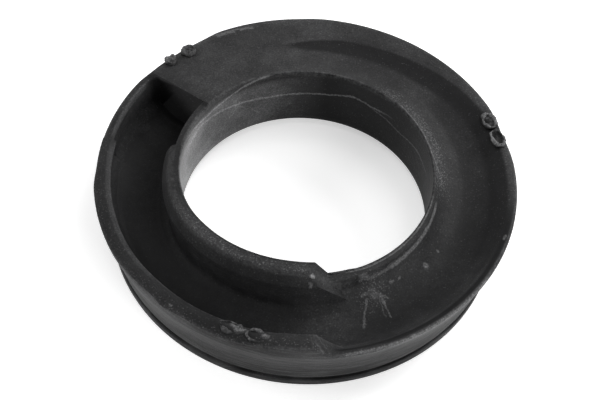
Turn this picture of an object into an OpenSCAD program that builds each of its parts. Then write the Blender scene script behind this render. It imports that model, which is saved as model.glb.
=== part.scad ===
// Coil spring insulator: a moulded rubber seat ring for the end of a car's coil spring.
// The ring stands on its flat base. A helical channel climbs from a stop face, where the
// wire's end sits deepest, round to the top face. Two lips hold the first part of the coil.

/* [Ring] */
// Diameter of the bore
bore_d = 81; // [70:0.5:95]
// Thickness of the wall between the bore and the channel, at the channel's widest
inner_wall = 2.6; // [2:0.1:5]
// Thickness of the wall between the channel and the rim, at the channel's widest
rim_wall = 3.6; // [2.6:0.1:6]
// How far the rim overhangs the base
rim_overhang = 4.5; // [2:0.1:8]
// Fall of the top face from the bore out to the rim
top_fall = 3.2; // [1:0.1:5]
// Radius that rounds the rim's edge
rim_round = 1.2; // [0.4:0.1:2]
// Bevel at the foot of the bore
bore_bevel = 3; // [1:0.1:4]

/* [Base flange] */
// Height of the thin flange under the groove
flange_h = 2.7; // [1.5:0.1:4]
// Height of the groove that takes the edge of the spring plate
groove_h = 1.9; // [1:0.1:3]
// Depth of that groove
groove_depth = 1.3; // [0.5:0.1:2.5]

/* [Spring channel] */
// Width of the channel where it is deepest, at the top of the stop face
channel_w = 21.3; // [19:0.1:28]
// Rubber left under the wire's end, in front of the stop face
seat_t = 9.5; // [7:0.5:14]
// Climb of the channel's floor from the stop face to the top face
channel_climb = 16.7; // [12:0.1:22]
// Angle over which it climbs
channel_turn = 320; // [280:1:330]
// Height over which the round floor curves up into the side walls
floor_curve_h = 5.7; // [4:0.1:8]
// Lean of the side walls from the upright, in degrees
wall_draft = 2.3; // [1:0.1:8]
// Angle from the stop face to where the inner wall starts to open out towards the bore
open_start = 180; // [170:1:200]
// Angle over which it opens out until the floor rises straight to the bore's crest
open_turn = 30; // [20:1:60]
// Direction of the stop face, counted from the X axis
stop_angle = 146; // [0:1:359]

/* [Retaining lips] */
// Clear gap between the two lips
lip_gap = 15.8; // [12:0.1:17]
// Angle from the stop face to the blunt start of the lips
lip_start = 27.5; // [10.5:1:59.5]
// Angle from the stop face to the slanted ends of the lips
lip_end = 130; // [100:1:170]
// Rise of the inner lip above the bore's crest
inner_lip_rise = 6.7; // [2:0.1:10]
// Rise of the outer lip above the rim
outer_lip_rise = 4.4; // [2:0.1:8]
// Width of the flat crown on the inner lip
inner_crown = 3.8; // [2.5:0.1:5]
// Width of the flat crown on the outer lip
outer_crown = 4; // [2.5:0.1:5]
// Fall of the inner lip's bevelled side
inner_bevel_h = 5.7; // [3:0.1:8]
// Fall of the outer lip's bevelled side
outer_bevel_h = 1.6; // [0.8:0.1:3]
// Slope of the inner lip's slanted end, in degrees
inner_end_slope = 54; // [35:1:70]
// Slope of the outer lip's slanted end, in degrees
outer_end_slope = 40; // [30:1:60]

/* [Moulding marks] */
// Directions of the three pairs of torn-off moulding gates
gate_angles = [21.5, 136, 257.5]; // [0:0.5:359]
// Angle between the two gates of a pair
gate_pitch = 7.2; // [5:0.1:10]
// Diameter of a gate's stub
gate_d = 3.6; // [2:0.1:5]
// Height of a stub above the face that carries it
gate_h = 0.9; // [0.3:0.1:2]
// Depth of the nick where the outer lip was trimmed
trim_depth = 1.5; // [0.5:0.1:2.5]
// Angle from the slanted end back to that nick
trim_back = 26; // [15:1:40]

/* [Hidden] */
$fn = 180;

bore_r = bore_d / 2;
channel_r = bore_r + inner_wall + channel_w / 2;
rim_r = channel_r + channel_w / 2 + rim_wall;
base_r = rim_r - rim_overhang;

// The top face is a shallow cone that meets the channel's centre line where the climb ends
top_slope = top_fall / (rim_r - bore_r);
top_z = seat_t + channel_climb;
crest_z = top_z + (channel_r - bore_r) * top_slope;
rim_z = top_z - (rim_r - channel_r) * top_slope;
groove_top = flange_h + groove_h;

// The floor is an arc across the channel, up to where it meets the leaning walls
wall_lean = tan(wall_draft);
floor_half_w = channel_w / 2 - (channel_climb - floor_curve_h) * wall_lean;
floor_r = (pow(floor_curve_h, 2) + pow(floor_half_w, 2)) / (2 * floor_curve_h);
crest_w = 0.5;
climb_per_degree = channel_climb / channel_turn;

lip_inner_r = channel_r - lip_gap / 2 + 0.7;
lip_outer_r = lip_inner_r + lip_gap;
lip_from = stop_angle + lip_start;
lip_to = stop_angle + lip_end;
lip_proud = 0.2;
lip_round = 0.8;

ring_step = 3;
end_step = 1;
floor_steps = 8;
flare_steps = 8;
flare_power = 1.5;
round_steps = 5;
clear = 1;

function floor_z(a) = seat_t + climb_per_degree * (a - stop_angle);

// A smooth rise from 0 to 1 while the angle goes from start to finish
function ease(a, start, finish) =
    sin(90 * min(1, max(0, (a - start) / (finish - start))));

// Height that a lip's slanted end allows at an angle, for a slope taken at one radius
function end_height(a, z, slope, radius) =
    z - max(0, a - lip_to) * PI / 180 * radius * tan(slope);

rise_from = lip_from + 20;
rise_to = lip_to - 12;
inner_lip_z = crest_z + lip_proud + inner_lip_rise;
outer_lip_z = rim_z + lip_proud + outer_lip_rise;
function inner_crown_z(a) = min(
    crest_z + lip_proud + inner_lip_rise * ease(a, rise_from, rise_to),
    end_height(a, inner_lip_z, inner_end_slope, bore_r));
function outer_crown_z(a) = min(
    rim_z + lip_proud + outer_lip_rise * ease(a, rise_from, rise_to),
    end_height(a, outer_lip_z, outer_end_slope, rim_r));

// Angle past the lips' end at which the slant of a lip has come down to the channel's floor
function slant_run(z, slope, radius) =
    (z - floor_z(lip_to)) / (PI / 180 * radius * tan(slope) + climb_per_degree);
inner_slant = slant_run(inner_lip_z, inner_end_slope, bore_r);
outer_slant = slant_run(outer_lip_z, outer_end_slope, rim_r);

// Outline of the ring's section without the channel, from the bore's foot round to its crest
function flare(i) = [
    base_r + rim_overhang * pow(i / flare_steps, flare_power),
    groove_top + (rim_z - rim_round - groove_top) * i / flare_steps];
function rim_arc(i) = [
    rim_r - rim_round + rim_round * cos(90 * i / round_steps),
    rim_z - rim_round + rim_round * sin(90 * i / round_steps)];
ring_outline = concat(
    [[bore_r + bore_bevel, 0], [base_r, 0], [base_r, flange_h]],
    [[base_r - groove_depth, flange_h], [base_r - groove_depth, groove_top]],
    [for (i = [0:flare_steps]) flare(i)],
    [for (i = [1:round_steps]) rim_arc(i)],
    [[bore_r, crest_z], [bore_r, bore_bevel]]);

// Rise of an arc from its lowest point, at a distance to the side
function arc_rise(w, r) = r - sqrt(max(0, r * r - w * w));

// The inner half of the floor, which opens out into one arc that reaches the bore's crest
open_w = channel_r - bore_r - crest_w;
function open_share(a) = let (
    t = min(1, max(0, (a - stop_angle - open_start) / open_turn))) t * t * (3 - 2 * t);
function open_h(a) = max(clear, crest_z - floor_z(a));
function open_r(a) = (pow(open_h(a), 2) + pow(open_w, 2)) / (2 * open_h(a));
function inner_point(s, a) = let (t = open_share(a), w = s * floor_half_w, o = s * open_w) [
    channel_r - w * (1 - t) - o * t,
    floor_z(a) + arc_rise(w, floor_r) * (1 - t) + arc_rise(o, open_r(a)) * t];

// Section of the channel: a round floor that meets leaning walls, open at the top
function channel_section(a) = let (
    z = floor_z(a),
    t = open_share(a),
    high = max(crest_z, z + floor_curve_h) + clear,
    wide = floor_half_w + (high - z - floor_curve_h) * wall_lean) concat(
    [[channel_r - wide * (1 - t) - (open_w + crest_w / 4) * t, high]],
    [for (i = [0:floor_steps - 1]) inner_point(cos(90 * i / floor_steps), a)],
    [for (i = [0:floor_steps]) let (w = floor_half_w * sin(90 * i / floor_steps))
        [channel_r + w, z + arc_rise(w, floor_r)]],
    [[channel_r + wide, high]]);

// Sections of the two lips, each reaching down into the rubber under the channel
function inner_lip_section(a) = let (top = inner_crown_z(a), foot = floor_z(a) - 2 * clear) [
    [bore_r - clear, foot],
    [lip_inner_r, foot],
    [lip_inner_r, max(foot + clear, min(top, inner_crown_z(min(a, lip_to)) - inner_bevel_h))],
    [min(lip_inner_r, bore_r + inner_crown), top],
    [bore_r - clear, top]];
function outer_lip_section(a) = let (top = outer_crown_z(a), foot = floor_z(a) - 2 * clear) [
    [rim_r - outer_crown, foot],
    [rim_r + clear, top - lip_round - clear],
    [rim_r - lip_round, top],
    [rim_r - outer_crown, top],
    [lip_outer_r, top - outer_bevel_h],
    [lip_outer_r, foot]];

// The ring's outer wall, carried straight up from the rim, which bounds the outer lip
wall_outline = concat(
    [[rim_r - 2 * outer_crown, groove_top]],
    [for (i = [0:flare_steps]) flare(i)],
    [[rim_r, outer_lip_z + clear], [rim_r - 2 * outer_crown, outer_lip_z + clear]]);

// Skin round a row of sections that all have the same number of points
function place(p, a) = [p[0] * cos(a), p[0] * sin(a), p[1]];
module sweep(angles, sections) {
    n = len(sections[0]);
    m = len(sections);
    points = [for (i = [0:m - 1]) for (p = sections[i]) place(p, angles[i])];
    sides = [for (i = [0:m - 2]) for (j = [0:n - 1]) let (k = (j + 1) % n)
        each [[i * n + j, i * n + k, (i + 1) * n + j],
              [i * n + k, (i + 1) * n + k, (i + 1) * n + j]]];
    first = [for (j = [n - 1:-1:0]) j];
    last = [for (j = [0:n - 1]) (m - 1) * n + j];
    polyhedron(points, concat(sides, [first, last]), convexity = 6);
}

// Angles of the sections that the channel and both lips share, counted from the stop face
function shared_steps(start, finish) =
    [for (a = [stop_angle:ring_step:finish]) if (a >= start) a];
function steps_between(start, finish, step) = let (n = ceil((finish - start) / step))
    [for (i = [0:n]) start + (finish - start) * i / n];
function lip_steps(slant) = concat(
    [lip_from],
    shared_steps(lip_from + end_step, lip_to - end_step),
    steps_between(lip_to, lip_to + slant, end_step));

module ring_blank() {
    rotate_extrude() polygon(ring_outline);
}

module channel_cut() {
    angles = shared_steps(stop_angle, stop_angle + channel_turn + 2 * ring_step);
    sweep(angles, [for (a = angles) channel_section(a)]);
}

module inner_lip() {
    angles = lip_steps(inner_slant);
    sweep(angles, [for (a = angles) inner_lip_section(a)]);
}

module outer_lip() {
    angles = lip_steps(outer_slant);
    intersection() {
        sweep(angles, [for (a = angles) outer_lip_section(a)]);
        rotate_extrude() polygon(wall_outline);
    }
}

// The face that carries the moulding gates, at an angle
function carrier_z(a) = a > lip_from && a < lip_to ? outer_crown_z(a) : rim_z;

// A stub left where a gate was torn off, dished in its middle
module gate_stub(a) {
    stub_r = rim_r - outer_crown / 2 - lip_round / 2;
    rotate([0, 0, a]) translate([stub_r, 0, carrier_z(a) - clear]) difference() {
        cylinder(d = gate_d, h = clear + gate_h, $fn = 32);
        translate([0, 0, clear + gate_h + gate_d / 3]) sphere(d = gate_d, $fn = 32);
    }
}

module gate_stubs() {
    for (pair = gate_angles, side = [-0.5, 0.5]) gate_stub(pair + side * gate_pitch);
}

// The shallow nick that trimming left in the outer lip
module trim_cut() {
    nick_r = 16;
    at = lip_to - trim_back;
    rotate([0, 0, at]) translate([lip_outer_r - clear, 0, outer_crown_z(at) + nick_r - trim_depth])
        rotate([0, 90, 0]) cylinder(r = nick_r, h = rim_r - lip_outer_r + 2 * clear);
}

module spring_insulator() {
    color([0.13, 0.13, 0.14]) difference() {
        union() {
            difference() {
                ring_blank();
                channel_cut();
            }
            inner_lip();
            difference() {
                outer_lip();
                trim_cut();
            }
            gate_stubs();
        }
        translate([0, 0, bore_bevel]) cylinder(r = bore_r, h = inner_lip_z);
    }
}

spring_insulator();
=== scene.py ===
import math

import bpy
from bpy.props import FloatProperty, FloatVectorProperty, PointerProperty
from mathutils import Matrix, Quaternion, Vector


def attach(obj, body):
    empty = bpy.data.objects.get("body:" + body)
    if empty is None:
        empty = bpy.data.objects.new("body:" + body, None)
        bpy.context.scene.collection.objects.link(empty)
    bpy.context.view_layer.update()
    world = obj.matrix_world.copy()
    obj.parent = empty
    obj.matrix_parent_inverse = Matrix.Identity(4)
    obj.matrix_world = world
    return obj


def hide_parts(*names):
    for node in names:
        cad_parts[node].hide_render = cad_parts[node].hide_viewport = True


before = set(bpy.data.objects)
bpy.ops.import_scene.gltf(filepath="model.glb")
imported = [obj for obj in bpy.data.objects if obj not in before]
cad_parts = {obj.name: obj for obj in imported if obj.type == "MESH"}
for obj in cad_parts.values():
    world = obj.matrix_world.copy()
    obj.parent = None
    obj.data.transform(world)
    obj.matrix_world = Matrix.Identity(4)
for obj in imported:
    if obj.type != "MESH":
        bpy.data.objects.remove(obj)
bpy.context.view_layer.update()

bl_info = {
    "name": "Coil Spring Insulator",
    "version": (1, 0, 0),
    "blender": (4, 5, 0),
    "location": "3D View > Sidebar > Insulator",
    "description": "Models a moulded rubber seat ring for the end of a coil spring",
    "category": "Object",
}

MM = 0.001
NODE = "spring_insulator"

# Directions, in degrees anticlockwise from +X, counted on past a full turn from the stop face
STOP = 146.0
TURN = 360.0
LIPS_START = 173.0
INNER_LIP_SLANT = 271.0
OUTER_LIP_SLANT = 274.0
LIPS_GONE = 292.0

# Heights and radii by direction: pairs of degrees and millimetres
INNER_CROWN = (
    (146, 27.7), (198, 27.8), (206, 28.7), (215, 30.2), (222, 31.4), (235, 32.7),
    (247, 33.6), (256, 34.1), (266, 34.5), (300, 34.4))
OUTER_CROWN = (
    (146, 24.6), (212, 24.6), (216, 25), (220, 25.9), (226, 27), (230, 27.6),
    (232, 26.4), (233.5, 25.4), (235, 26), (237, 26.6), (241, 27.2), (246, 26.8),
    (250, 26.5), (255, 26.6), (259, 27.4), (262, 28), (267, 28.7), (271, 29.2),
    (300, 29.2))
OUTER_LIP_INSIDE = (
    (146, 23.7), (209, 23.9), (216, 24.4), (221, 25.2), (226, 26), (232, 26.2),
    (239, 26.4), (244, 26.7), (252, 27.2), (257, 27), (264, 27.5), (269, 28.4),
    (300, 28.6))
RIM_RADIUS = (
    (146, 66.5), (150, 67), (184, 67.2), (190, 68), (371, 67.9), (377, 67.5),
    (380, 67.3), (384, 67.7), (389, 68.3), (420, 68.4), (450, 68.2), (455, 67.7),
    (481, 67.5), (483.5, 66.9), (488, 66.4), (500, 66.3), (506, 66.5))
OUTER_EDGE = (
    (146, 64.2), (270, 64.4), (281, 65.6), (347, 65.6), (357, 65.1), (366, 64.9),
    (375, 64.8), (390, 65), (399, 64.2), (410, 62.4), (417, 61.2), (429, 59.7),
    (440, 58.7), (451, 56.8), (458, 55.3), (466, 53.9), (506, 53.9))
INNER_EDGE = (
    (146, 43.1), (173, 43.1), (292, 43.4), (333, 43.2), (343, 42.4), (352, 41.6),
    (366, 41.1), (470, 41.2), (490, 43.1), (506, 43.1))

# Radius of the channel's walls under the lips, which close in on it past their blunt start
LIP_WALL_OUT = ((173, 63.95), (190, 63.5), (215, 62.5), (300, 62.4))
LIP_WALL_IN = ((173, 43.55), (190, 44.7), (215, 46.2), (300, 46.5))
CORNER_FILLET = 2.6

# The lips' slanted ends: height by direction at the lip's inner and outer radius, and how steeply
# the inner one falls along the bore before its first entry
INNER_SLANT_BORE = ((276.2, 34.4), (283, 27.2), (290, 19.8), (296, 13.4))
INNER_SLANT_FALL = 1.06
INNER_SLANT_FOOT = ((262, 41.3), (286.5, 22.9), (289, 20.5), (296, 13))
OUTER_SLANT_RIM = ((270, 34), (275.3, 28.9), (279, 25.4), (282, 24), (296, 8))
OUTER_SLANT_FOOT = (
    (270, 35.8), (275.6, 28.6), (277.5, 26.4), (281, 22.4), (285, 19),
    (296, 8))

# Profile of the lips: the outer one's slope and the depth of its wall's top; the inner one's
# crown, bevel and the depth of its wall's top
OUTER_LIP_SLOPE = (2, 1.3)
OUTER_LIP_WALL = 1.6
INNER_LIP_CROWN = (3.75, 0.3)
INNER_LIP_BEVEL, INNER_LIP_WALL = 5.7, 7.4

# Half of the channel is an arc of this radius up to this height, then a steep wall
FLOOR_ARC = 12.0
ARC_HEIGHT = 5.68
ARC_HALF_WIDTH = 10.2
WALL_LEAN = 0.041

# Width and depth of the rounding between the top and the bore
CREST_WIDTH, CREST_DEPTH = 0.8, 0.9

# Points in each corner's rounding and along the edge after it, in order round the section
BASE_CORNERS = ((3, 5), (4, 1), (4, 1), (2, 1), (2, 1), (3, 14))
LIP_CORNERS = (
    (6, 3), (4, 2), (4, 1), (2, 3), (7, 2), (2, 8), (2, 2), (7, 3), (2, 1), (4, 4), (6, 4),
    (5, 0))
LIP_FLOOR = 5
FOOT_CORNER = (3, 2)
BORE_POINTS = 14

# Wear of the edges
RIM_WEAR, WALL_WEAR, OUTER_LIP_WEAR = 0.16, 0.06, 0.14
INNER_LIP_WEAR, CREST_WEAR, FLANGE_WEAR = 0.1, 0.18, 0.05
FLANGE_START, FLANGE_POINTS = 1, 8

# Degrees between two sections, and where they are closer: direction, reach on both sides, degrees
STATION_GAP = 0.78
FINE_STATIONS = (
    (STOP, 1, 0.1), (STOP + TURN, 1, 0.1), (LIPS_START, 1.2, 0.15), (232, 4, 0.35),
    (279, 9, 0.3))

# Lamps: name, place in metres, size in metres, power in watts
LAMPS = (
    ("right_back_lamp", (0.7, 0.6, 0.6), 0.5, 7.4), ("left_lamp", (-1, 0.1, 0.4), 0.5, 6.5),
    ("right_front_lamp", (0.7, -0.8, 0.4), 0.5, 8.4), ("top_lamp", (0.0, 0.0, 1.1), 0.8, 2.4),
    ("high_lamp", (0.3, 0.3, 0.9), 0.4, 2), ("left_back_lamp", (-0.7, 0.7, 0.6), 0.5, 1.3))
WORLD_LIGHT = 0.05
FLOOR_GLOW = 0.5

# Camera: it looks down at the ring from the front, a little turned; the shift is in photo pixels
CAMERA_ELEVATION, CAMERA_ROLL = math.radians(54.38), math.radians(4.55)
CAMERA_DISTANCE = 0.5015
CAMERA_LENS = 90
PHOTO_WIDTH, PHOTO_SHIFT = 600, (-3.13, 18.03)

# Torn-off gates: name, direction, radius, half size across and along the rim, height, sunk depth,
# depth of the torn hollow as a share of the height, and how pale the torn edge is
GATES = (
    ("gate_right_a", 24.9, 64.9, 2.6, 3.6, 1.1, 0.7, 0.8, 1.2),
    ("gate_right_b", 18.3, 64.9, 2.5, 3.9, 1.1, 0.7, 0.9, 1.1),
    ("gate_left_a", 132.3, 63.9, 2.2, 2.5, 1.4, 0.4, 0.3, 0.5),
    ("gate_left_b", 138.7, 64.4, 2, 2.2, 1.5, 0.4, 0.2, 0.9),
    ("gate_front_a", 252.9, 64.2, 2.3, 4, 1.2, 0.5, 0.5, 0.4),
    ("gate_front_b", 260.4, 65, 2.4, 3.7, 1.2, 0.6, 0.7, 0.65))
# Shares of a gate's height that are upright and below its torn edge; its insets as shares of its
# width; how rough it is
GATE_UPRIGHT, GATE_EDGE = 0.6, 0.15
GATE_INSETS = (0.12, 0.2, 0.14, 0.2)
GATE_POINTS = 20
GATE_ROUGHNESS, GATE_GRAIN = 0.0018, 0.0026

# Names of the point attributes that drive the rubber's material; the first carries dust together with
# painted light and painted shade
SHARES = ("dust_and_painted_light", "speckle", "edge", "streaks", "gloss")

# The rubber's surface: roughness, its fall in the glossy bore and its spread
ROUGHNESS, GLOSS_DEPTH, ROUGHNESS_SPREAD = 0.56, 0.2, 0.22
RUBBER_IOR = 1.17
BUMP_DEPTH = 0.0004
PALEST = 1.7
STREAK_LENGTH, STREAK_HEIGHT = 5, 0.9
MARK_JITTER = 1.5
# Heights and radii over which the marks seen from above fade out
TOP_FOOT, RIM_FOOT, RIM_INSIDE = (8, 9), (22, 23), (61, 62)

# Pale scuffs seen from above: direction and radius of both ends, half width in mm, strength
SCUFFS = (
    (299.8, 46.6, 300.2, 47.4, 1.2, 0.22), (296.6, 47.8, 292.3, 55.6, 0.28, 0.34),
    (302.5, 47.6, 301.8, 55.5, 0.26, 0.38), (301, 47, 304.5, 49.6, 0.32, 0.28),
    (298, 46.2, 295.2, 46.4, 0.36, 0.26), (307.6, 46.2, 309.2, 46.5, 0.22, 0.4),
    (311.2, 46.8, 312.4, 46.6, 0.18, 0.3),
    (323.8, 48.8, 323.8, 48.9, 0.7, 0.5), (331.7, 48.9, 331.7, 49, 0.35, 0.36),
    (344, 66.2, 343, 66.2, 0.4, 0.4), (235.6, 66.5, 235.9, 66.5, 0.35, 0.4),
    (156, 59.8, 159, 60.9, 0.8, 0.06), (301.6, 48.2, 300.2, 55, 0.22, 0.2))

# Torn spots at the lips' ends: direction, radius and height of both ends, half width, strength
LIP_SCUFFS = (
    (275.2, 44.6, 32.9, 275.6, 44.5, 32, 0.55, 0.8), (274.9, 45.8, 30.4, 274.6, 46.3, 29.2, 0.5, 0.35),
    (253.1, 62.8, 28, 254.9, 64.6, 28.3, 0.75, 0.55), (254.9, 64.6, 28.2, 257, 64.2, 27.7, 0.7, 0.55),
    (262.3, 64.4, 28.3, 263.2, 64.8, 28.2, 0.7, 0.5), (274.3, 64.2, 28.6, 274.9, 67.4, 28.8, 0.45, 0.12),
    (275.6, 65, 28.2, 277.6, 67.6, 26.6, 0.5, 0.15), (276.4, 62.9, 27.6, 278.6, 65.4, 25.4, 0.4, 0.1))

# Long marks that run round the ring: pairs of direction and millimetres, half width, strength.
# The first are on the top, at a radius, two of them painted highlights; the second in the bore, at a
# height.
TOP_LINES_AND_HIGHLIGHTS = (
    (((2.6, 43.2), (7.9, 42), (14.8, 41.2), (28.8, 41.3), (40, 41.3), (48, 41.6)), 0.22, 0.34),
    (((294, 43.2), (301, 43.7), (308, 43.7), (315, 43.7)), 0.2, 0.3),
    (((307, 43.7), (314, 43.7), (326, 43.6), (336, 43.3), (350, 42.5)), 0.28, 0.44),
    (((283, 40.95), (290, 41.2), (298, 41.8), (306, 41.7), (317, 41.6), (332, 41.4), (352, 41.2)),
     0.2, 0.36),
    (((280, 67.7), (288, 67.5), (298, 67.7), (310, 67.8), (332, 67.7)), 0.3, 0.34),
    (((109.5, 65.1), (116, 65.9), (121, 66), (123.4, 66.9)), 0.25, 0.34),
    (((110, 64.6), (112, 65.3), (114.6, 65.2)), 0.5, 0.4),
    (((115.6, 65), (118, 65.5), (122, 65.3)), 0.6, 0.34),
    # painted highlights: the rim's rounded inner edge before the lips and the outer lip's bevel after
    # them, which face the light from the right
    (((149, 64.5), (160, 64.5), (173, 64.5)), 0.38, 0.16),
    (((173.5, 63.3), (184, 63.2), (196, 63.3), (212, 63.4), (228, 63.2)), 0.75, 0.09))
BORE_LINES = (
    (((45, 19.5), (60, 18.2), (70, 19.3), (82, 17), (98, 16.2), (113, 16.2), (130, 18.5),
      (146, 20.8), (154, 21.7), (171, 19)), 0.36, 0.5),
    (((109, 27.4), (115.4, 27.1), (125.9, 25.6), (135, 23.9), (147, 23), (158, 24.4), (169, 26.2)),
     0.45, 0.55),
    (((12, 16), (28, 17.3), (42, 15.3), (51, 16.5), (62, 17.9)), 0.28, 0.32),
    (((110, 15), (116.3, 9.4), (121, 13)), 0.2, 0.24),
    (((124, 15), (131, 18.4)), 0.2, 0.24))


def blend(table, a):
    """Value of a table of pairs at an angle."""
    if a <= table[0][0]:
        return table[0][1]
    for (a0, v0), (a1, v1) in zip(table, table[1:]):
        if a <= a1:
            return v0 + (v1 - v0) * (a - a0) / (a1 - a0)
    return table[-1][1]


def soft(table, a, reach=1.6):
    """The table's value averaged over a short reach, so that its kinks are rounded."""
    return sum(blend(table, a + d * reach) for d in (-1, -0.5, 0, 0.5, 1)) / 5


def step(a, low, high):
    """Smooth rise from 0 to 1 between two values."""
    t = min(1.0, max(0.0, (a - low) / (high - low)))
    return t * t * (3 - 2 * t)


def lower(p, q, k):
    """The smaller of two heights, with the edge between them rounded over k."""
    h = max(0.0, 1 - abs(p - q) / k)
    return min(p, q) - k / 4 * h * h


def place(r, z, a):
    """A point of the section in millimetres, turned to its direction, in metres."""
    t = math.radians(a)
    return Vector((r * math.cos(t), r * math.sin(t), z)) * MM


def quadratic(start, bend, finish, t):
    """A point of the curve from start to finish that is drawn towards bend."""
    return start * (1 - t) ** 2 + bend * 2 * t * (1 - t) + finish * t * t


def rounded(corners, counts):
    """Points round open corners (radius, height, rounding), with points along the edges between."""
    rounds = []
    for k, (r, z, size) in enumerate(corners):
        here = Vector((r, z))
        before = Vector(corners[max(k - 1, 0)][:2]) - here
        after = Vector(corners[min(k + 1, len(corners) - 1)][:2]) - here
        if before.length < 1e-6 or after.length < 1e-6:
            rounds.append([here.copy() for _ in range(counts[k][0])])
            continue
        half = before.angle(after) / 2
        reach = min(size / max(0.05, math.tan(half)), size * 2.2,
                    0.48 * before.length, 0.48 * after.length)
        start = here + before.normalized() * reach
        finish = here + after.normalized() * reach
        count = counts[k][0]
        rounds.append([quadratic(start, here, finish, i / (count - 1)) for i in range(count)])
    points = []
    for k, arc in enumerate(rounds):
        points += arc
        if k + 1 < len(rounds):
            for i in range(counts[k][1]):
                points.append(arc[-1].lerp(rounds[k + 1][0], (i + 1) / (counts[k][1] + 1)))
    return points


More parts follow.
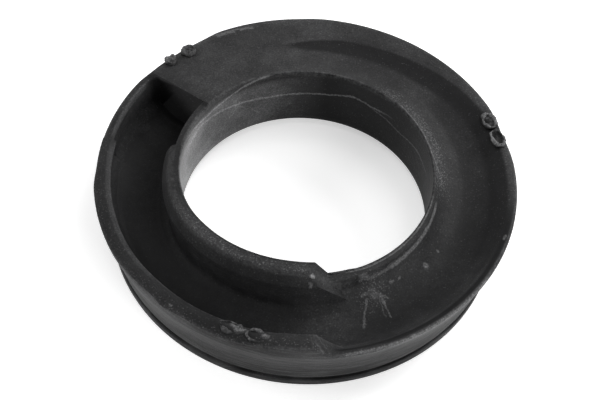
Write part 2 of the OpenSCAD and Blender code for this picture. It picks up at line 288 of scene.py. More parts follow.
class RingForm:
    """Section of the ring at every direction, from the sizes in the panel."""

    def __init__(self, sizes):
        self.bore = sizes.bore_radius / MM
        self.bevel = sizes.bore_bevel / MM
        self.base = sizes.base_radius / MM
        self.flange = sizes.flange_height / MM
        self.groove_top = self.flange + sizes.groove_height / MM
        self.groove_r = self.base - sizes.groove_depth / MM
        self.seat = sizes.seat_thickness / MM
        self.climb = sizes.channel_climb / MM / math.degrees(sizes.channel_turn)
        self.top = self.seat + sizes.channel_climb / MM
        self.middle = sizes.coil_radius / MM
        self.slope = sizes.top_fall / (sizes.rim_radius - sizes.bore_radius)
        self.lip_in = self.middle - sizes.lip_gap / MM / 2 + 0.7
        self.lip_out = self.lip_in + sizes.lip_gap / MM
        self.top_count = sum(a + b for a, b in LIP_CORNERS)
        self.outer_count = sum(a + b for a, b in BASE_CORNERS)

    def top_z(self, r):
        return self.top - (r - self.middle) * self.slope

    def floor_z(self, a):
        return self.seat + self.climb * (a - STOP)

    def wall_r(self, z, rim_r, rim_z):
        """Radius of the flared outer wall at a height."""
        t = (z - self.groove_top) / (rim_z - 1.2 - self.groove_top)
        return self.base + (rim_r - self.base) * min(1.0, max(0.0, t)) ** 1.5

    def corner(self, a):
        """How far the fillet in the corner of the stop face and the outer wall reaches inward."""
        along = min(CORNER_FILLET, math.radians(a - STOP) * self.middle)
        return CORNER_FILLET - math.sqrt(CORNER_FILLET ** 2 - (CORNER_FILLET - along) ** 2)

    def half_trough(self, w, a, edge):
        """Rise across one half of the channel where it is one arc from the floor to its edge."""
        reach = max(0.4, abs(self.middle - edge) + 0.15)
        high = max(0.12, self.top_z(edge) - self.floor_z(a))
        arc = max(reach * 1.03, (high * high + reach * reach) / (2 * high))
        if w < reach:
            return arc - math.sqrt(arc * arc - w * w)
        deep = math.sqrt(arc * arc - reach * reach)
        return arc - deep + (w - reach) * (reach / deep)

    def trough_z(self, r, a):
        """Height of the channel's own surface, carried on above the top face."""
        w = abs(r - self.middle)
        if w < ARC_HALF_WIDTH:
            rise = FLOOR_ARC - math.sqrt(FLOOR_ARC ** 2 - w * w)
        else:
            rise = ARC_HEIGHT + (w - ARC_HALF_WIDTH) / WALL_LEAN
        if r < self.middle:
            easy, edge = step(a, 280, 318), soft(INNER_EDGE, a, 3)
        else:
            easy, edge = step(a, 268, 282), soft(OUTER_EDGE, a, 2)
            if a < STOP + 5 and w > ARC_HALF_WIDTH - CORNER_FILLET:
                rise = max(rise, ARC_HEIGHT + (w + self.corner(a) - ARC_HALF_WIDTH) / WALL_LEAN)
        if easy > 0:
            rise = min(rise, 60) * (1 - easy) + self.half_trough(w, a, edge) * easy
        return self.floor_z(a) + rise

    def base_z(self, r, a):
        """Height of the ring without its lips."""
        past_lips = 1.0 if r > self.middle else 0.5
        round_over = 0.55 + past_lips * step(a, 270, 282) * (1 - step(a, 470, 480))
        return lower(self.top_z(r), self.trough_z(r, a), round_over)

    def crest(self, inner_z, crest_z):
        """Points round the edge between the top and the bore."""
        count = LIP_CORNERS[-1][0]
        ends = (Vector((self.bore + CREST_WIDTH, inner_z)), Vector((self.bore, crest_z)),
                Vector((self.bore, crest_z - CREST_DEPTH)))
        return [quadratic(*ends, i / (count - 1)) for i in range(count)]

    def plain_top(self, a, rim_r):
        """Points of the top from the rim to the crest, closer together near the edges."""
        edge_out, edge_in = soft(OUTER_EDGE, a, 3) - self.corner(a), soft(INNER_EDGE, a, 3)
        count = LIP_CORNERS[0][0]
        rim = rounded([(rim_r, self.groove_top, 0), (rim_r, self.top_z(rim_r), 0.9),
                       (self.middle, self.top, 0)], ((2, 0), (count, 0), (2, 0)))[2:-2]
        rest = self.top_count - count - LIP_CORNERS[-1][0]
        start, finish = rim[-1].x, self.bore + CREST_WIDTH
        marks = ((0.0, start), (0.09, min(start - 0.2, edge_out + 0.7)), (0.24, edge_out - 1.3),
                 (0.76, edge_in + 1.8), (0.92, max(finish + 0.15, edge_in - 0.5)), (1.0, finish))
        radii = [blend(marks, (i + 1) / (rest + 1)) for i in range(rest)]
        points = [Vector((r, self.base_z(r, a))) for r in radii]
        return rim + points + self.crest(self.base_z(finish, a), self.base_z(self.bore, a))

    def lipped_top(self, a, rim_r):
        """Points of the top over both lips, cut down by their slanted ends."""
        crown = soft(INNER_CROWN, a, 3)
        rim_z = self.top_z(rim_r)
        over = max(soft(OUTER_CROWN, a, 0.8), rim_z - 0.05)
        inside = soft(OUTER_LIP_INSIDE, a, 2)
        wall_out, wall_in = soft(LIP_WALL_OUT, a), soft(LIP_WALL_IN, a)
        foot_out, foot_in = self.trough_z(wall_out, a), self.trough_z(wall_in, a)
        wide, drop = OUTER_LIP_SLOPE
        points = rounded([
            (rim_r, over, 0.8),
            (self.lip_out + wide, max(inside + drop, self.top_z(self.lip_out + wide)), 0.5),
            (self.lip_out, max(inside, foot_out + 1.0), 0.6),
            (wall_out, max(inside - OUTER_LIP_WALL, foot_out + 0.5), 0.5),
            (wall_out, foot_out, 2.5),
            (wall_out - 3, self.trough_z(wall_out - 3, a), 0),
            (wall_in + 3, self.trough_z(wall_in + 3, a), 0),
            (wall_in, foot_in, 2.5),
            (wall_in, max(crown - INNER_LIP_WALL, foot_in + 0.5), 0.5),
            (self.lip_in, max(crown - INNER_LIP_BEVEL, foot_in + 1.0), 1.3),
            (self.bore + INNER_LIP_CROWN[0], crown - INNER_LIP_CROWN[1], 2.4),
            (self.bore, crown, 0.9)], LIP_CORNERS)
        arc_from = sum(p + q for p, q in LIP_CORNERS[:LIP_FLOOR]) + LIP_CORNERS[LIP_FLOOR][0]
        arc_to = arc_from + LIP_CORNERS[LIP_FLOOR][1]
        for p in points[arc_from:arc_to]:
            p.y = self.trough_z(p.x, a)
        points[-LIP_CORNERS[-1][0]:] = self.crest(crown, crown)
        middle = (arc_from + arc_to) // 2
        for i, p in enumerate(points):
            if i > middle and a > INNER_LIP_SLANT - 8:
                t = min(1.0, max(0.0, (p.x - self.bore) / (self.lip_in - self.bore)))
                cut = blend(INNER_SLANT_BORE, a) * (1 - t) + blend(INNER_SLANT_FOOT, a) * t
                if a <= INNER_SLANT_BORE[0][0]:
                    cut += INNER_SLANT_FALL * (INNER_SLANT_BORE[0][0] - a) * (1 - t)
                p.y = min(p.y, max(cut, self.base_z(max(p.x, self.bore), a)))
            elif i <= middle and a > OUTER_LIP_SLANT - 4:
                t = min(1.0, max(0.0, (p.x - self.lip_out) / (rim_r - self.lip_out)))
                cut = blend(OUTER_SLANT_FOOT, a) * (1 - t) + blend(OUTER_SLANT_RIM, a) * t
                ground = self.base_z(p.x, a)
                if p.x > rim_r - 0.8:
                    ground = rim_z - 0.9 * ((p.x - rim_r + 0.8) / 0.8) ** 2
                p.y = min(p.y, max(cut, ground))
        return points

    def section(self, a):
        """Outline of the section, from the bore's foot round the base, the wall and the top."""
        rim_r = soft(RIM_RADIUS, a)
        rim_z = self.top_z(rim_r)
        lips = step(a, LIPS_START - 0.15, LIPS_START + 0.25) * (1 - step(a, LIPS_GONE, LIPS_GONE + 4))
        top = self.plain_top(a, rim_r)
        if lips > 0:
            top = [p.lerp(q, lips) for p, q in zip(top, self.lipped_top(a, rim_r))]
            for p in top[LIP_CORNERS[0][0]:-LIP_CORNERS[-1][0]]:
                if a > LIPS_GONE or (lips < 1 and abs(p.x - self.middle) < 9.0):
                    p.y = self.base_z(p.x, a)
        outline = rounded([
            (self.bore + self.bevel, 0.0, 0.5),
            (self.base, 0.0, 0.5),
            (self.base, self.flange, 0.5),
            (self.groove_r, self.flange, 0.3),
            (self.groove_r, self.groove_top, 0.3),
            (self.base, self.groove_top, 0.5),
            (self.base, self.groove_top + 2, 0)], (*BASE_CORNERS[:5], (3, 0), (2, 0)))[:-2]
        low, high = outline[-1], top[0]
        for i in range(BASE_CORNERS[5][1]):
            z = low.y + (high.y - low.y) * (i + 1) / (BASE_CORNERS[5][1] + 1)
            outline.append(Vector((self.wall_r(z, rim_r, rim_z), z)))
        outline += top
        start = top[-1]
        for i in range(BORE_POINTS):
            t = (i + 1) / (BORE_POINTS + 1)
            outline.append(Vector((self.bore, start.y + (self.bevel + 0.3 - start.y) * t)))
        for i in range(FOOT_CORNER[0]):
            outline.append(Vector((self.bore + 0.2 * i, self.bevel + 0.3 - 0.3 * i)))
        for i in range(FOOT_CORNER[1]):
            t = (i + 1) / (FOOT_CORNER[1] + 1)
            outline.append(Vector((self.bore + 0.4 + (self.bevel - 0.8) * t,
                                   (self.bevel - 0.3) * (1 - t))))
        return outline

    def edge_wear(self, a):
        """Wear at each point of the section: along the rim, the lips' edges and the crest."""
        base, rim, crest = self.outer_count, LIP_CORNERS[0][0], LIP_CORNERS[-1][0]
        worn = [(FLANGE_START, FLANGE_POINTS, FLANGE_WEAR), (base - 1, 1, WALL_WEAR),
                (base, rim, RIM_WEAR), (base + self.top_count - crest, crest, CREST_WEAR)]
        if LIPS_START + 1 < a < LIPS_GONE:
            lip = base + sum(p + q for p, q in LIP_CORNERS[:2])
            crown = base + sum(p + q for p, q in LIP_CORNERS[:-2])
            worn += [(lip, LIP_CORNERS[2][0], OUTER_LIP_WEAR),
                     (crown, LIP_CORNERS[-2][0], INNER_LIP_WEAR)]
        wear = [0.0] * (base + self.top_count + BORE_POINTS + sum(FOOT_CORNER))
        for first, count, share in worn:
            wear[first:first + count] = [share] * count
        return wear


def stations():
    """Directions of the sections, closer together where the form changes quickly."""
    out, a = [], STOP
    while a < STOP + TURN - 1e-6:
        out.append(a)
        gap = STATION_GAP
        for centre, reach, fine in FINE_STATIONS:
            if centre - reach - 0.5 < a < centre + reach:
                gap = min(gap, fine)
        a += gap
    return out


def deselect():
    for obj in bpy.context.selected_objects:
        obj.select_set(False)
    bpy.context.view_layer.objects.active = None


def edit_all():
    """Edit the active mesh with every point selected."""
    bpy.ops.object.mode_set(mode="EDIT")
    bpy.ops.mesh.select_all(action="SELECT")


def turn_outward():
    """Turn the faces outward, and go back to object mode with smooth shading."""
    bpy.ops.mesh.select_all(action="SELECT")
    bpy.ops.mesh.normals_make_consistent(inside=False)
    bpy.ops.object.mode_set(mode="OBJECT")
    bpy.ops.object.shade_smooth()


def set_shares(mesh, columns):
    for name, values in zip(SHARES, columns):
        mesh.attributes.new(name, "FLOAT", "POINT").data.foreach_set("value", values)


def new_material(name):
    """A material, the pen for its nodes and its main shader's inputs."""
    mat = bpy.data.materials.new(name)
    mat.use_nodes = True
    return mat, Shader(mat.node_tree), mat.node_tree.nodes["Principled BSDF"].inputs


class Shader:
    """Short calls that add and link the nodes of one tree."""

    def __init__(self, tree):
        self.tree = tree

    def put(self, socket, value):
        if isinstance(value, bpy.types.NodeSocket):
            self.tree.links.new(value, socket)
        elif value is not None:
            socket.default_value = value

    def math(self, how, a, b=None, c=None, clamp=False):
        node = self.tree.nodes.new("ShaderNodeMath")
        node.operation, node.use_clamp = how, clamp
        for socket, value in zip(node.inputs, (a, b, c)):
            self.put(socket, value)
        return node.outputs[0]

    def times(self, a, b):
        return self.math("MULTIPLY", a, b)

    def vector(self, how, a, b=None, scale=None):
        node = self.tree.nodes.new("ShaderNodeVectorMath")
        node.operation = how
        for i, value in ((0, a), (1, b), (3, scale)):
            self.put(node.inputs[i], value)
        return node.outputs["Value" if how in ("LENGTH", "DOT_PRODUCT") else "Vector"]

    def span(self, value, low, high, start=0.0, finish=1.0):
        """Smooth change from start to finish while the value goes from low to high."""
        node = self.tree.nodes.new("ShaderNodeMapRange")
        node.interpolation_type = "SMOOTHSTEP"
        for socket, v in zip(node.inputs, (value, low, high, start, finish)):
            self.put(socket, v)
        return node.outputs[0]

    def noise(self, coords, scale, detail=2.0, roughness=0.5, colour=False):
        node = self.tree.nodes.new("ShaderNodeTexNoise")
        for name, value in (("Vector", coords), ("Scale", scale), ("Detail", detail),
                            ("Roughness", roughness)):
            self.put(node.inputs[name], value)
        return node.outputs["Color" if colour else "Fac"]

    def parts(self, vector):
        node = self.tree.nodes.new("ShaderNodeSeparateXYZ")
        self.put(node.inputs[0], vector)
        return node.outputs[:]

    def attribute(self, name):
        node = self.tree.nodes.new("ShaderNodeAttribute")
        node.attribute_name = name
        return node.outputs["Fac"]

    def mix(self, share, a, b):
        node = self.tree.nodes.new("ShaderNodeMix")
        node.data_type = "RGBA"
        node.clamp_factor = False
        colours = [s for s in node.inputs if s.type == "RGBA"]
        self.put(node.inputs[0], share)
        self.put(colours[0], a)
        self.put(colours[1], b)
        return [s for s in node.outputs if s.type == "RGBA"][0]


def seen_directly(sh):
    """1 for rays from the camera and in reflections, 0 for the light that falls on the ring."""
    rays = sh.tree.nodes.new("ShaderNodeLightPath").outputs
    mirrored = sh.math("MAXIMUM", rays["Is Glossy Ray"], rays["Is Transmission Ray"])
    return sh.math("MAXIMUM", rays["Is Camera Ray"], mirrored)


def mark_group():
    """Node group: how strongly a point is covered by one soft line between two ends."""
    tree = bpy.data.node_groups.new("soft_mark", "ShaderNodeTree")
    face = tree.interface
    for name, kind in (("Position", "Vector"), ("Start", "Vector"), ("Run", "Vector"),
                       ("Per Length", "Float"), ("Half Width", "Float"), ("Strength", "Float")):
        face.new_socket(name, in_out="INPUT", socket_type="NodeSocket" + kind)
    face.new_socket("Cover", in_out="OUTPUT", socket_type="NodeSocketFloat")
    pen = Shader(tree)
    given = tree.nodes.new("NodeGroupInput").outputs
    result = tree.nodes.new("NodeGroupOutput").inputs
    away = pen.vector("SUBTRACT", given["Position"], given["Start"])
    along = pen.vector("DOT_PRODUCT", away, given["Run"])
    along = pen.math("MULTIPLY", along, given["Per Length"], clamp=True)
    nearest = pen.vector("SCALE", given["Run"], scale=along)
    distance = pen.vector("LENGTH", pen.vector("SUBTRACT", away, nearest))
    wide = pen.times(given["Half Width"], 1.7)
    cover = pen.span(distance, pen.times(given["Half Width"], 0.4), wide, 1.0, 0.0)
    pen.put(result[0], pen.times(cover, given["Strength"]))
    return tree


def add_marks(sh, tree, coords, marks):
    """The strongest of several soft marks, each from a start to an end in millimetres."""
    total = None
    for start, end, width, strength in marks:
        run = end - start
        node = sh.tree.nodes.new("ShaderNodeGroup")
        node.node_tree = tree
        per_length = 1 / max(run.length_squared, 1e-6)
        for socket, value in zip(node.inputs, (coords, start, run, per_length, width, strength)):
            sh.put(socket, value)
        total = node.outputs[0] if total is None else sh.math("MAXIMUM", total, node.outputs[0])
    return total


def add_lines(sh, degrees, across, lines):
    """Marks that follow a curve round the ring, kept between the curve's ends."""
    total = None
    for points, width, strength in lines:
        low, high = points[0][0], points[-1][0]
        values = [v for _, v in points]
        least, most = min(values) - 1, max(values) + 1
        node = sh.tree.nodes.new("ShaderNodeFloatCurve")
        curve = node.mapping.curves[0]
        while len(curve.points) < len(points):
            curve.points.new(0.5, 0.5)
        for knot, (a, v) in zip(curve.points, points):
            knot.location = ((a - low) / (high - low), (v - least) / (most - least))
            knot.handle_type = "VECTOR"
        node.mapping.update()
        share = sh.math("DIVIDE", sh.math("SUBTRACT", degrees, low), high - low)
        sh.put(node.inputs["Value"], share)
        level = sh.math("MULTIPLY_ADD", node.outputs[0], most - least, least)
        away = sh.math("ABSOLUTE", sh.math("SUBTRACT", across, level))
        cover = sh.span(away, width * 0.4, width * 1.7, strength, 0.0)
        cover = sh.times(cover, sh.span(share, 0.0, 0.1))
        cover = sh.times(cover, sh.span(share, 0.9, 1.0, 1.0, 0.0))
        total = cover if total is None else sh.math("MAXIMUM", total, cover)
    return total


def marks_cover(sh, place_mm, height, degrees, bore_radius):
    """Cover of the scuffs, lines and painted highlight strips on the top, in the bore and on the lips'
    ends.
    """
    tree = mark_group()
    jitter = sh.vector("SUBTRACT", sh.noise(place_mm, 0.9, 3.0, 0.6, colour=True), (0.5, 0.5, 0.5))
    ragged = sh.vector("ADD", place_mm, sh.vector("SCALE", jitter, scale=MARK_JITTER))
    flat = sh.vector("MULTIPLY", ragged, (1.0, 1.0, 0.0))
    level = sh.vector("MULTIPLY", place_mm, (1.0, 1.0, 0.0))
    radius = sh.vector("LENGTH", level)
    # the lines' radius, with less jitter
    calmer = sh.vector("LENGTH", sh.vector("ADD", sh.vector("SCALE", flat, scale=0.3),
                                           sh.vector("SCALE", level, scale=0.7)))
    # marks at the rim's radius stay off the wall under it
    on_rim = sh.math("MAXIMUM", sh.span(height, *RIM_FOOT), sh.span(radius, *RIM_INSIDE, 1.0, 0.0))
    above = sh.times(sh.span(height, *TOP_FOOT), on_rim)
    in_bore = sh.span(radius, bore_radius + 0.1, bore_radius + 0.4, 1.0, 0.0)
    scuffs = [(place(r0, 0, a0) / MM, place(r1, 0, a1) / MM, width, strength)
              for a0, r0, a1, r1, width, strength in SCUFFS]
    torn = [(place(r0, z0, a0) / MM, place(r1, z1, a1) / MM, width, strength)
            for a0, r0, z0, a1, r1, z1, width, strength in LIP_SCUFFS]
    lines = add_lines(sh, degrees, calmer, TOP_LINES_AND_HIGHLIGHTS)
    seen = sh.math("MAXIMUM", add_marks(sh, tree, flat, scuffs), lines)
    seen = sh.times(sh.times(seen, above), sh.math("SUBTRACT", 1.0, in_bore))
    lined = sh.times(add_lines(sh, degrees, sh.parts(ragged)[2], BORE_LINES), in_bore)
    return sh.math("MAXIMUM", sh.math("MAXIMUM", seen, lined), add_marks(sh, tree, ragged, torn))


def rubber_material(colours, bore_radius):
    """Dark moulded rubber with a cloudy bloom, dust, worn edges, scuffs and parting lines, and with
    painted light and shade: painted light on the bore's left wall and the outer wall, painted shade in
    the channel and painted highlight strips along the rim.
    """
    mat, sh, inputs = new_material("moulded_rubber")
    coords = sh.tree.nodes.new("ShaderNodeTexCoord").outputs["Object"]
    place_mm = sh.vector("SCALE", coords, scale=1 / MM)
    x, y, height = sh.parts(place_mm)
    turn = sh.math("ARCTAN2", y, x)
    cloud = sh.noise(place_mm, 0.055, 5.0, 0.62)
    mottle = sh.noise(place_mm, 0.32, 4.0, 0.6)
    grain = sh.noise(place_mm, 1.9, 3.0, 0.6)
    specks = sh.noise(place_mm, 1.9, 2.0, 0.55)
    dust_and_painted_light, speckle, edge, streaks, gloss = (sh.attribute(name) for name in SHARES)
    # bloom and painted light: clouds over the clean rubber, stronger where the attribute says, which
    # also carries painted light and painted shade
    patches = sh.times(sh.span(cloud, 0.32, 0.70), sh.span(mottle, 0.30, 0.72, 0.55, 1.0))
    bloom_and_light = sh.times(dust_and_painted_light, sh.math("MULTIPLY_ADD", patches, 0.75, 0.45))
    bloom_and_light = sh.times(bloom_and_light, sh.span(grain, 0.32, 0.68, 0.65, 1.35))
    # streaks that run round the outer wall
    along = [sh.times(sh.math(how, turn), STREAK_LENGTH) for how in ("SINE", "COSINE")]
    joined = sh.tree.nodes.new("ShaderNodeCombineXYZ")
    for socket, value in zip(joined.inputs, (*along, sh.times(height, STREAK_HEIGHT))):
        sh.put(socket, value)
    streak = sh.span(sh.noise(joined.outputs[0], 1.0, 4.0, 0.6), 0.42, 0.66)
    # fine pale specks, more of them where the attribute is high
    bar = sh.math("MULTIPLY_ADD", speckle, -0.19, 0.70)
    dots = sh.span(specks, bar, sh.math("ADD", bar, 0.07))
    dots = sh.times(dots, sh.math("MULTIPLY_ADD", speckle, 0.35, 0.10))
    worn = sh.times(edge, sh.span(sh.noise(place_mm, 0.75, 4.0, 0.7), 0.36, 0.66))
    degrees = sh.math("FLOORED_MODULO", sh.math("DEGREES", turn), TURN)
    # the marks include painted highlight strips along the rim
    marks = marks_cover(sh, place_mm, height, degrees, bore_radius)
    marks = sh.times(marks, sh.span(grain, 0.32, 0.62, 0.4, 1.2))
    pale = bloom_and_light
    for layer in (dots, worn, sh.times(streaks, streak), marks):
        pale = sh.math("ADD", pale, layer)
    pale = sh.math("MINIMUM", pale, PALEST)
    dark = sh.mix(sh.span(mottle, 0.3, 0.7), (*colours.rubber_low, 1), (*colours.rubber_high, 1))
    sh.put(inputs["Base Color"], sh.mix(pale, dark, (*colours.dust, 1)))
    rough = sh.math("MULTIPLY_ADD", gloss, -GLOSS_DEPTH, ROUGHNESS)
    rough = sh.math("MULTIPLY_ADD", sh.math("SUBTRACT", mottle, 0.5), ROUGHNESS_SPREAD, rough)
    sh.put(inputs["Roughness"], rough)
    inputs["IOR"].default_value = RUBBER_IOR
    # moulded grain
    bump = sh.tree.nodes.new("ShaderNodeBump")
    bump.inputs["Strength"].default_value = 0.5
    bump.inputs["Distance"].default_value = BUMP_DEPTH
    sh.put(bump.inputs["Height"], sh.math("MULTIPLY_ADD", grain, 0.35, sh.times(mottle, 0.45)))
    sh.put(inputs["Normal"], bump.outputs[0])
    return mat


# Shares in a torn gate's hollow and on its edge
GATE_LOW = (0.05, 0.1, 0.0, 0.0, 0.0)
GATE_HIGH = (0.32, 0.6, 0.6, 0.0, 0.0)

# How pale each region is, by direction: pairs of degrees and shares; nothing at the stop face, as
# painted shade there
TOP_GRIME = (
    (-214, 0.0), (-212.6, 0.0), (-211.5, 0.12), (-187, 0.10), (-150, 0.08), (-110, 0.09),
    (-80, 0.12), (-50, 0.10), (-20, 0.10), (0, 0.13), (20, 0.15), (45, 0.14), (60, 0.13),
    (80, 0.15), (110, 0.21), (140, 0.20), (146, 0.16))

# Painted light on the bore's left wall, which faces the light from the right, and its lower roughness
# there, by direction
BORE_LIGHT_AND_GLOSS = (
    (84, 0.0), (112, 0.27), (130, 0.48), (146, 0.68), (160, 0.9), (170, 1.0), (185, 0.8),
    (200, 0.3), (214, 0.0))
BORE_TURN = 300

# Radius at which the painted shade on the channel's outer slope starts, past the lips
RUN_OUT_LOW = (
    (325, 58.5), (390, 58.0), (410, 54.5), (418, 53.7), (426, 53.1), (438, 52), (451, 51.2),
    (462, 52.6), (470, 54.0))

# Where the regions of the surface lie: each fades in over two values and out over two more. TURN
# is a direction in degrees, BAND a radius and HEIGHT a height in millimetres.
DUSTY_TURN, DUSTY_BAND = (346, 362, 412, 426), (40.8, 41.8, 43.5, 48.5)
CROWN_TURN, CROWN_EDGE = (196, 214, 272, 276), (43.5, 45.5)
RUN_OUT_TURN = (325, 350, 456, 466)
CHANNEL_TURN, CHANNEL_BAND = (144, 146.5, 230, 282), (46, 47.5, 60.5, 62)
TROUGH_FRONT, TROUGH_RIGHT, TROUGH_BAND = (284, 300, 395, 410), (330, 345, 395, 410), (49, 52, 60, 62)
RIM_START = (63.5, 66.5)
RIM_LEFT, RIM_FRONT, RIM_RIGHT = (190, 206, 276, 284), (282, 290, 330, 350), (340, 355, 395, 410)
# where the painted shadow line inside the rim lies
RIM_SHADOW_TURN, RIM_SHADOW_INSIDE = (279, 284, 345, 360), (-3.2, -2.2, -1.3, -0.8)
WALL_LEFT, WALL_RIGHT, WALL_FRONT = (190, 215, 225, 262), (280, 310), (280, 290, 336, 352)
WALL_HEIGHT, WALL_TOP = (8, 22), (18, 23)
BORE_RIGHT = (365, 385, 425, 445)
CREST_TURN, CREST_HEIGHT = (86, 102, 172, 190), (23.0, 24.8, 28.0, 28.6)

# The star-shaped scuff's direction and radius, and how far its dust reaches
STAR = (299.8, 46.6)
STAR_REACH = (2, 9)

# What each region adds to the shares of dust and speckle; the wall's left and front shares and the
# bore's left share are painted light
SLOPE_GRIME, SLOPE_SPECKLE = 0.10, 0.6
CROWN_GRIME, CROWN_SPECKLE = 0.10, 0.35
STAR_GRIME, STAR_SPECKLE = 0.05, 0.34
RIM_SPECKLE, PLAIN_SPECKLE, WALL_SPECKLE = 0.18, 0.25, 0.2
RIM_GRIME_LEFT, RIM_GRIME_FRONT, RIM_GRIME_RIGHT = -0.03, 0.12, 0.05
# the wall's left and front shares are painted light where it faces the light
WALL_GRIME, WALL_LIGHT_LEFT, WALL_GRIME_RIGHT, WALL_LIGHT_FRONT = 0.10, 0.16, 0.06, 0.12
WALL_STREAKS = 0.14
# the bore's left share is a painted highlight on the wall that faces the light from the right
BORE_GRIME, BORE_GRIME_RIGHT, BORE_LIGHT_LEFT = 0.01, 0.05, 1.38

# By how much the dark regions cut the pale share: painted shade on the run-out slopes and in the trough,
# less dust and painted shade in the channel, and less painted light on the crest in the bore
RUN_OUT_SHADE, CHANNEL_DUST_AND_SHADE_CUT, TROUGH_SHADE_FRONT, TROUGH_SHADE_RIGHT, CREST_CUT = 0.9, 0.5, 0.25, 0.35, 0.78
CHANNEL_SPECKLE_CUT = 0.15


def window(v, start, full, fade, end):
    """1 between full and fade, 0 before start and after end."""
    return step(v, start, full) * (1 - step(v, fade, end))


def top_shares(r, z, a, form):
    """Dust and speckle on the faces seen from above, with painted shade on the channel's slopes, in the
    channel, at the stop face and in a line inside the rim.
    """
    rim = step(r, *RIM_START)
    dust_and_painted_light = blend(TOP_GRIME, a - TURN if a > STOP else a)
    speckle = PLAIN_SPECKLE + RIM_SPECKLE * rim
    # the dusty band on the inner slope at the right, and the inner lip's crown
    dusty = window(a, *DUSTY_TURN) * window(r, *DUSTY_BAND)
    crown = window(a, *CROWN_TURN) * (1 - step(r, *CROWN_EDGE))
    # dust round the star-shaped scuff
    near = 1 - step((place(r, 0, a) - place(STAR[1], 0, STAR[0])).length / MM, *STAR_REACH)
    speckle += SLOPE_SPECKLE * dusty + CROWN_SPECKLE * crown + STAR_SPECKLE * near
    dust_and_painted_light += SLOPE_GRIME * dusty + CROWN_GRIME * crown + STAR_GRIME * near
    # painted shade on the slopes that face away from the light: the channel's outer side at the right
    # and where it runs out at the back
    low, high = blend(RUN_OUT_LOW, a), blend(OUTER_EDGE, a)
    slope = window(r, low - 0.5, low + 2, high - 0.6, high + 0.5)
    dust_and_painted_light *= 1 - RUN_OUT_SHADE * slope * window(a, *RUN_OUT_TURN)
    # painted shade, in the channel partly also less dust: the channel is darkest near the stop face, and
    # dark again in the trough past the lips
    channel = window(r, *CHANNEL_BAND) * window(a, *CHANNEL_TURN)
    dust_and_painted_light *= 1 - CHANNEL_DUST_AND_SHADE_CUT * channel
    speckle -= CHANNEL_SPECKLE_CUT * channel
    dust_and_painted_light *= 1 - window(r, *TROUGH_BAND) * (TROUGH_SHADE_FRONT * window(a, *TROUGH_FRONT)
                                            + TROUGH_SHADE_RIGHT * window(a, *TROUGH_RIGHT))
    dust_and_painted_light += rim * (RIM_GRIME_RIGHT * window(a, *RIM_RIGHT) + RIM_GRIME_LEFT * window(a, *RIM_LEFT))
    # painted shade: the stop face, which stands in shadow, and the channel's foot next to it get no pale
    # share
    if a > TURN + STOP - 0.35 or (a < STOP + 1.2 and z < form.top_z(r) - 1):
        dust_and_painted_light = 0.0
    dust_and_painted_light += RIM_GRIME_FRONT * rim * window(a, *RIM_FRONT)
    # painted shadow: past the outer lip a dark line runs inside the rim, in the crease between the
    # channel's slope and the rim
    rim_shadow = 1 - window(r - soft(RIM_RADIUS, a), *RIM_SHADOW_INSIDE) * window(a, *RIM_SHADOW_TURN)
    return dust_and_painted_light * rim_shadow, speckle * rim_shadow


def wall_dust_and_light(z, a):
    """Pale share on the outer wall: dust all round, darker towards the bottom, and painted light at the
    front left and along its top at the front, where it faces the light.
    """
    sides = WALL_LIGHT_LEFT * window(a, *WALL_LEFT) + WALL_GRIME_RIGHT * step(a, *WALL_RIGHT)
    dust_and_painted_light = WALL_GRIME + sides
    dust_and_painted_light *= 0.5 + 0.7 * step(z, *WALL_HEIGHT)
    return dust_and_painted_light + WALL_LIGHT_FRONT * step(z, *WALL_TOP) * window(a, *WALL_FRONT)


def bore_shares(z, a):
    """Dust, painted light and gloss in the bore: a painted highlight on the left wall, kept off the
    crest's rounding, which stays as dark as the top face.
    """
    direction = a - TURN if a > BORE_TURN else a
    left = blend(BORE_LIGHT_AND_GLOSS, direction)
    crest = window(z, *CREST_HEIGHT) * window(direction, *CREST_TURN)
    dust_and_painted_light = BORE_GRIME + BORE_GRIME_RIGHT * window(a, *BORE_RIGHT)
    return dust_and_painted_light + BORE_LIGHT_LEFT * left * (1 - CREST_CUT * crest), left


def surface_shares(r, z, a, wear, outer, form):
    """Shares at a point of the ring, in the order of their names."""
    if outer:
        return wall_dust_and_light(z, a), WALL_SPECKLE, wear, WALL_STREAKS, 0.0
    in_bore = 1 - step(r, form.bore + 0.15, form.bore + 0.5)
    dust_and_painted_light, speckle = top_shares(r, z, a, form)
    bore_dust_and_light, gloss = bore_shares(z, a)
    dust_and_painted_light += (bore_dust_and_light - dust_and_painted_light) * in_bore
    speckle += (PLAIN_SPECKLE - speckle) * in_bore
    return dust_and_painted_light, speckle, wear, 0.0, gloss * in_bore


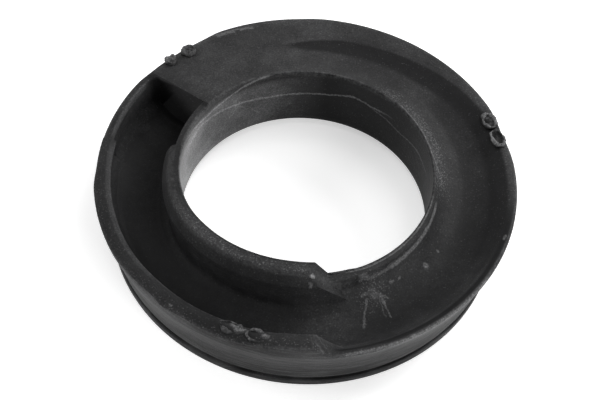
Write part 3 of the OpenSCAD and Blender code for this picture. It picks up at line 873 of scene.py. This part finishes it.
class InsulatorSizes(bpy.types.PropertyGroup):
    """Main sizes of the ring"""
    bore_radius: FloatProperty(
        name="Bore Radius", description="Radius of the hole through the ring",
        default=0.0405, unit="LENGTH")
    bore_bevel: FloatProperty(
        name="Bore Bevel", description="Bevel at the foot of the bore",
        default=0.003, unit="LENGTH")
    rim_radius: FloatProperty(
        name="Rim Radius", description="Outer radius at the rim",
        default=0.068, unit="LENGTH")
    base_radius: FloatProperty(
        name="Base Radius", description="Outer radius of the flange",
        default=0.0635, unit="LENGTH")
    flange_height: FloatProperty(
        name="Flange Height", description="Height of the thin flange at the base",
        default=0.0027, unit="LENGTH")
    groove_height: FloatProperty(
        name="Groove Height", description="Height of the groove above the flange",
        default=0.0019, unit="LENGTH")
    groove_depth: FloatProperty(
        name="Groove Depth", description="Depth of the groove above the flange",
        default=0.0013, unit="LENGTH")
    coil_radius: FloatProperty(
        name="Coil Radius", description="Radius of the channel's centre line",
        default=0.05375, unit="LENGTH")
    top_fall: FloatProperty(
        name="Top Fall", description="Fall of the top face from the bore to the rim",
        default=0.0032, unit="LENGTH")
    seat_thickness: FloatProperty(
        name="Seat Thickness", description="Rubber under the wire's end",
        default=0.0095, unit="LENGTH")
    channel_climb: FloatProperty(
        name="Channel Climb", description="Climb of the channel's floor",
        default=0.0167, unit="LENGTH")
    channel_turn: FloatProperty(
        name="Channel Turn", description="Turn over which the floor climbs",
        default=math.radians(320), unit="ROTATION")
    lip_gap: FloatProperty(
        name="Lip Gap", description="Clear gap between the two lips",
        default=0.0158, unit="LENGTH")


class InsulatorColours(bpy.types.PropertyGroup):
    """Colours of the rubber, its dust, which also paints light and shade, and the floor"""
    rubber_low: FloatVectorProperty(
        name="Rubber, Dark", description="Clean moulded rubber",
        default=(0.005, 0.005, 0.0053), subtype="COLOR", min=0, max=1)
    rubber_high: FloatVectorProperty(
        name="Rubber, Light", description="Slightly dulled rubber",
        default=(0.0075, 0.0075, 0.0078), subtype="COLOR", min=0, max=1)
    # the dust colour also paints the light on the bore and outer wall and the highlight strips
    dust: FloatVectorProperty(
        name="Dust", description="Bloom, dust and worn edges",
        default=(0.19, 0.19, 0.193), subtype="COLOR", min=0, max=1)
    floor: FloatVectorProperty(
        name="Floor", description="Pale floor under the ring",
        default=(0.9, 0.9, 0.9), subtype="COLOR", min=0, max=1)


class OBJECT_OT_insulator_ring(bpy.types.Operator):
    """Model the ring: a section spun round the axis, then shaped at every direction"""
    bl_idname = "object.insulator_ring"
    bl_label = "Ring"

    def execute(self, context):
        form = RingForm(context.scene.insulator_sizes)
        turns = stations()
        outline = form.section(STOP + 5)
        count = len(outline)
        deselect()
        bpy.ops.mesh.primitive_circle_add(vertices=count, radius=0.01, fill_type="NOTHING")
        ring = context.object
        ring.name = ring.data.name = "rubber_ring"
        for vert, p in zip(ring.data.vertices, outline):
            vert.co = place(p.x, p.y, 0)
        edit_all()
        bpy.ops.mesh.spin(steps=len(turns), angle=2 * math.pi, center=(0, 0, 0), axis=(0, 0, 1))
        bpy.ops.object.mode_set(mode="OBJECT")
        mesh = ring.data
        if len(mesh.vertices) != count * len(turns):
            raise RuntimeError(f"the spin made {len(mesh.vertices)} points, not {count * len(turns)}")
        for k, a in enumerate(turns):
            for j, p in enumerate(form.section(a)):
                mesh.vertices[k * count + j].co = place(p.x, p.y, a)
        edit_all()
        turn_outward()
        shares = []
        for k, a in enumerate(turns):
            wear = form.edge_wear(a)
            for j in range(count):
                co = mesh.vertices[k * count + j].co
                r, z, outer = math.hypot(co.x, co.y) / MM, co.z / MM, j <= form.outer_count
                shares.append(surface_shares(r, z, a, wear[j], outer, form))
        set_shares(mesh, zip(*shares))
        mesh.materials.append(rubber_material(context.scene.insulator_colours, form.bore))
        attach(ring, "root")
        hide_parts(NODE)
        return {"FINISHED"}


class OBJECT_OT_insulator_gates(bpy.types.Operator):
    """Model the torn-off moulding gates: rough stubs with a torn hollow on the rim"""
    bl_idname = "object.insulator_gates"
    bl_label = "Gates"

    def execute(self, context):
        form = RingForm(context.scene.insulator_sizes)
        rough = bpy.data.textures.new("torn_rubber", "CLOUDS")
        rough.noise_scale = GATE_GRAIN
        rough.noise_depth = 3
        for name, a, r, across, along, height, sunk, hollow, pale in GATES:
            rim_r = soft(RIM_RADIUS, a if a > STOP else a + TURN)
            ground = form.top_z(r)
            if LIPS_START < a < LIPS_GONE:
                ground = max(soft(OUTER_CROWN, a, 0.8), soft(OUTER_LIP_INSIDE, a, 2))
            deselect()
            bpy.ops.mesh.primitive_circle_add(vertices=GATE_POINTS, radius=across * MM, fill_type="NGON")
            gate = context.object
            gate.name = gate.data.name = name
            gate.scale = (1, along / across, 1)
            gate.rotation_euler = (0, 0, math.radians(a))
            gate.location = place(min(r, rim_r - across * 0.8), ground - sunk, a)
            bpy.ops.object.transform_apply(location=True, rotation=True, scale=True)
            edit_all()
            upright = (height + sunk) * GATE_UPRIGHT
            bpy.ops.mesh.extrude_region_move(TRANSFORM_OT_translate={"value": (0, 0, upright * MM)})
            for inset, rise in zip(GATE_INSETS, (height + sunk - upright, 0, -height * hollow, 0)):
                bpy.ops.mesh.inset(thickness=across * inset * MM, depth=rise * MM)
            turn_outward()
            finer = gate.modifiers.new("finer", "SUBSURF")
            finer.levels = finer.render_levels = 3
            torn = gate.modifiers.new("torn", "DISPLACE")
            torn.texture = rough
            torn.texture_coords = "LOCAL"
            torn.strength = height * GATE_ROUGHNESS
            bpy.ops.object.modifier_apply(modifier=finer.name)
            bpy.ops.object.modifier_apply(modifier=torn.name)
            bpy.ops.object.shade_smooth()
            edges = [step(v.co.z / MM, ground + height * GATE_EDGE, ground + height)
                     for v in gate.data.vertices]
            set_shares(gate.data, [[low + (high - low) * edge * pale for edge in edges]
                                   for low, high in zip(GATE_LOW, GATE_HIGH)])
            gate.data.materials.append(bpy.data.materials["moulded_rubber"])
            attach(gate, "root")
        return {"FINISHED"}


class OBJECT_OT_insulator_stage(bpy.types.Operator):
    """Lay the pale floor, hang the soft lamps and set the camera"""
    bl_idname = "object.insulator_stage"
    bl_label = "Stage"

    def execute(self, context):
        deselect()
        bpy.ops.mesh.primitive_plane_add(size=6)
        floor = context.object
        floor.name = "floor"
        mat, sh, inputs = new_material("pale_floor")
        coords = sh.tree.nodes.new("ShaderNodeTexCoord").outputs["Object"]
        shade = sh.span(sh.noise(coords, 3.0, 2.0), 0.3, 0.7, 0.97, 1.0)
        tint = (*context.scene.insulator_colours.floor, 1)
        sh.put(inputs["Base Color"], sh.mix(shade, (0, 0, 0, 1), tint))
        inputs["Roughness"].default_value = 0.8
        inputs["Emission Color"].default_value = (1, 1, 1, 1)
        sh.put(inputs["Emission Strength"], sh.times(seen_directly(sh), FLOOR_GLOW))
        floor.data.materials.append(mat)
        for name, place_at, size, power in LAMPS:
            data = bpy.data.lights.new(name, "AREA")
            data.size, data.energy = size, power
            lamp = bpy.data.objects.new(name, data)
            lamp.location = place_at
            lamp.rotation_euler = (-Vector(place_at)).to_track_quat("-Z", "Y").to_euler()
            context.scene.collection.objects.link(lamp)
        world = bpy.data.worlds.new("studio")
        context.scene.world = world
        world.use_nodes = True
        sky = Shader(world.node_tree)
        studio = world.node_tree.nodes["Background"].inputs
        studio["Color"].default_value = (1, 1, 1, 1)
        sky.put(studio["Strength"], sky.span(seen_directly(sky), 0.0, 1.0, WORLD_LIGHT, 1.0))
        cam_data = bpy.data.cameras.new("camera")
        camera = bpy.data.objects.new("camera", cam_data)
        context.scene.collection.objects.link(camera)
        back = Vector((0, -math.cos(CAMERA_ELEVATION), math.sin(CAMERA_ELEVATION)))
        camera.location = back * CAMERA_DISTANCE
        look = (-back).to_track_quat("-Z", "Y")
        camera.rotation_mode = "QUATERNION"
        camera.rotation_quaternion = look @ Quaternion((0, 0, 1), CAMERA_ROLL)
        cam_data.lens = CAMERA_LENS
        cam_data.shift_x, cam_data.shift_y = (pixels / PHOTO_WIDTH for pixels in PHOTO_SHIFT)
        context.scene.camera = camera
        context.scene.view_settings.view_transform = "Standard"
        return {"FINISHED"}


class VIEW3D_PT_insulator(bpy.types.Panel):
    """Sizes, colours and steps of the coil spring insulator"""
    bl_idname = "VIEW3D_PT_insulator"
    bl_label = "Coil Spring Insulator"
    bl_space_type = "VIEW_3D"
    bl_region_type = "UI"
    bl_category = "Insulator"

    def draw(self, context):
        for group in (context.scene.insulator_sizes, context.scene.insulator_colours):
            box = self.layout.box()
            for name in group.bl_rna.properties.keys():
                if name not in ("rna_type", "name"):
                    box.prop(group, name)
        column = self.layout.column(align=True)
        for name in ("ring", "gates", "stage"):
            column.operator("object.insulator_" + name)


CLASSES = (InsulatorSizes, InsulatorColours, OBJECT_OT_insulator_ring, OBJECT_OT_insulator_gates,
           OBJECT_OT_insulator_stage, VIEW3D_PT_insulator)


def register():
    for cls in CLASSES:
        bpy.utils.register_class(cls)
    bpy.types.Scene.insulator_sizes = PointerProperty(type=InsulatorSizes)
    bpy.types.Scene.insulator_colours = PointerProperty(type=InsulatorColours)


def unregister():
    del bpy.types.Scene.insulator_colours
    del bpy.types.Scene.insulator_sizes
    for cls in reversed(CLASSES):
        bpy.utils.unregister_class(cls)


def main():
    register()
    bpy.ops.object.insulator_ring()
    bpy.ops.object.insulator_gates()
    bpy.ops.object.insulator_stage()


if __name__ == "__main__":
    main()
